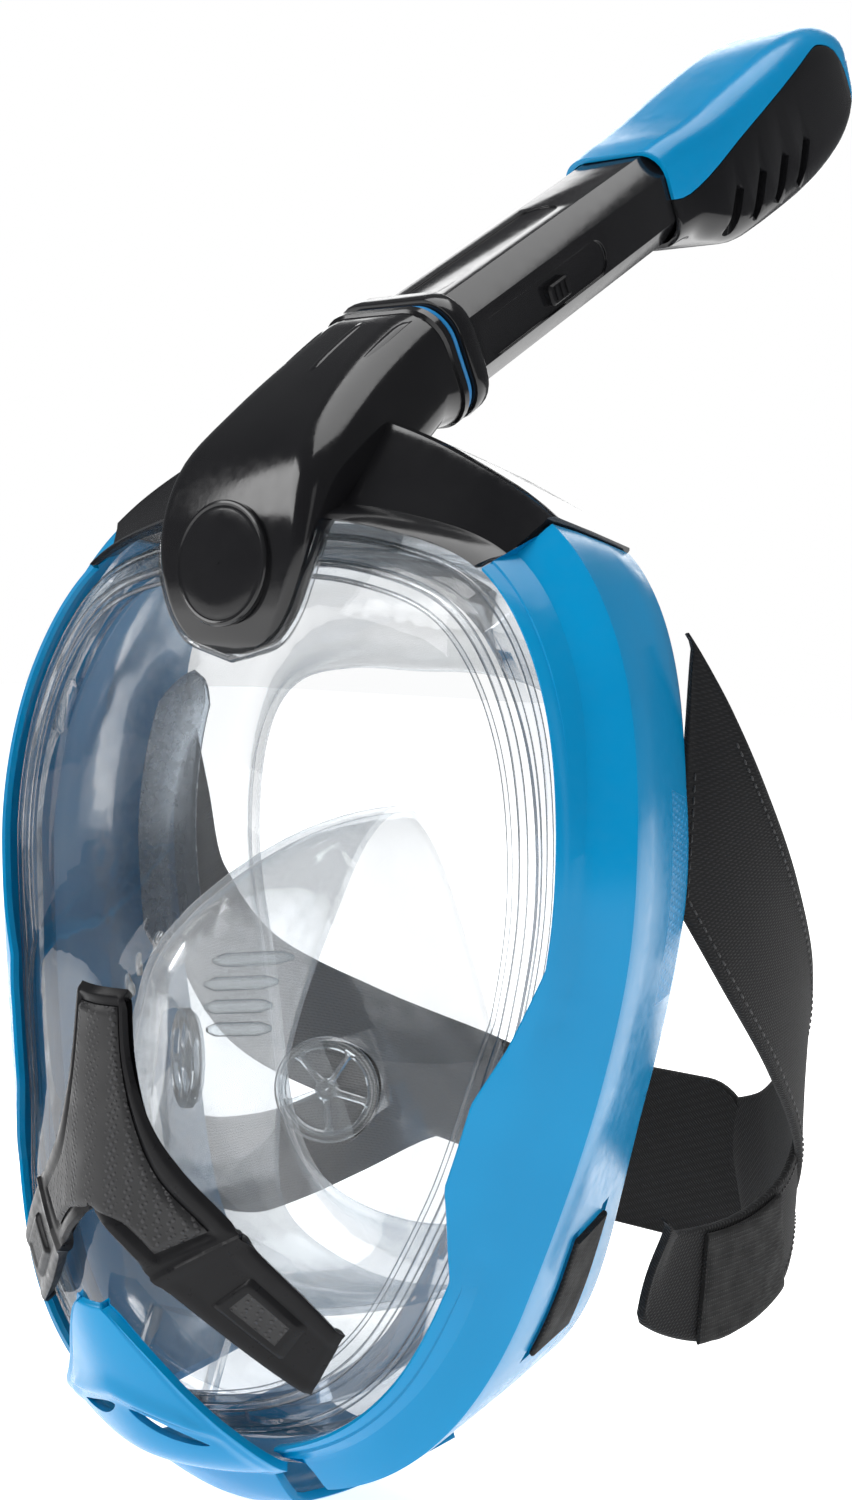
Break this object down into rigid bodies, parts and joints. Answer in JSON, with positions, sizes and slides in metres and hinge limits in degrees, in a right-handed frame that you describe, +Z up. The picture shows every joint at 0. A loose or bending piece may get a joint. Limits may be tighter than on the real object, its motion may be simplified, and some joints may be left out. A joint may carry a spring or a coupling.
{
  "type": "snorkel mask",
  "caption": "Full-face snorkel mask: clear one-piece lens in a two-part frame, silicone skirt and orinasal pocket, plug-in dry-top snorkel and strap harness.",
  "frame": {"origin": "middle of the wearer's face plane, level with the eyes' lower edge, where the silicone skirt meets the face", "axes": "+Z up, -Y the way the mask looks, +X the wearer's left"},
  "size_m": [0.2182, 0.3154, 0.4292],
  "materials": {
    "clear_lens": "polished clear polycarbonate",
    "clear_plastic": "clear moulded plastic",
    "blue_plastic": "gloss moulded blue",
    "blue_rubber": "satin blue silicone rubber",
    "black_plastic": "gloss moulded black",
    "grip_rubber": "dotted soft-touch black",
    "clear_silicone": "clear liquid silicone, slightly cloudy",
    "float_plastic": "foamed black plastic",
    "strap_fabric": "black knitted strap fabric on foam"
  },
  "bodies": {
    "root": {"lens": "clear_lens", "frame_left": "blue_plastic", "frame_right": "blue_plastic", "chin_cap": "blue_plastic", "socket_gasket": "blue_rubber", "crown": "black_plastic", "crown_disc": "black_plastic", "front_trim": "black_plastic", "trim_inlay": "grip_rubber", "trim_pad_left": "grip_rubber", "trim_pad_right": "grip_rubber", "face_skirt": "clear_silicone", "orinasal_pocket": "clear_silicone", "inlet_valve_seat_left": "clear_plastic", "inlet_valve_seat_right": "clear_plastic", "purge_valve_seat": "clear_plastic", "upper_strap_left": "strap_fabric", "upper_strap_right": "strap_fabric", "lower_strap_left": "strap_fabric", "lower_strap_right": "strap_fabric", "back_pad": "strap_fabric", "strap_loop_left": "strap_fabric", "strap_loop_right": "strap_fabric"},
    "snorkel": {"snorkel_tube": "black_plastic", "head_housing": "black_plastic", "head_cap": "blue_plastic", "float_seat": "black_plastic"},
    "latch": {"snorkel_latch": "black_plastic"},
    "float_body": {"float": "float_plastic", "float_seal": "clear_silicone"},
    "inlet_left": {"inlet_membrane_left": "clear_silicone"},
    "inlet_right": {"inlet_membrane_right": "clear_silicone"},
    "purge": {"purge_membrane": "clear_silicone"}
  },
  "joints": [
    {"name": "snorkel_plug", "type": "slide", "parent": "root", "child": "snorkel", "axis": [0, 0.8526, 0.5225], "range_m": [0, 0.03]},
    {"name": "latch_press", "type": "slide", "parent": "snorkel", "child": "latch", "axis": [-1, 0, 0], "range_m": [0, 0.0012], "stiffness_N_per_m": 600},
    {"name": "float_rise", "type": "slide", "parent": "snorkel", "child": "float_body", "axis": [0, 0.8526, 0.5225], "range_m": [0, 0.014]},
    {"name": "inlet_left_open", "type": "slide", "parent": "root", "child": "inlet_left", "axis": [-0.5, 0.866, 0], "range_m": [0, 0.0015], "stiffness_N_per_m": 60},
    {"name": "inlet_right_open", "type": "slide", "parent": "root", "child": "inlet_right", "axis": [0.5, 0.866, 0], "range_m": [0, 0.0015], "stiffness_N_per_m": 60},
    {"name": "purge_open", "type": "slide", "parent": "root", "child": "purge", "axis": [0, -0.3489, -0.9371], "range_m": [0, 0.0015], "stiffness_N_per_m": 60}
  ]
}
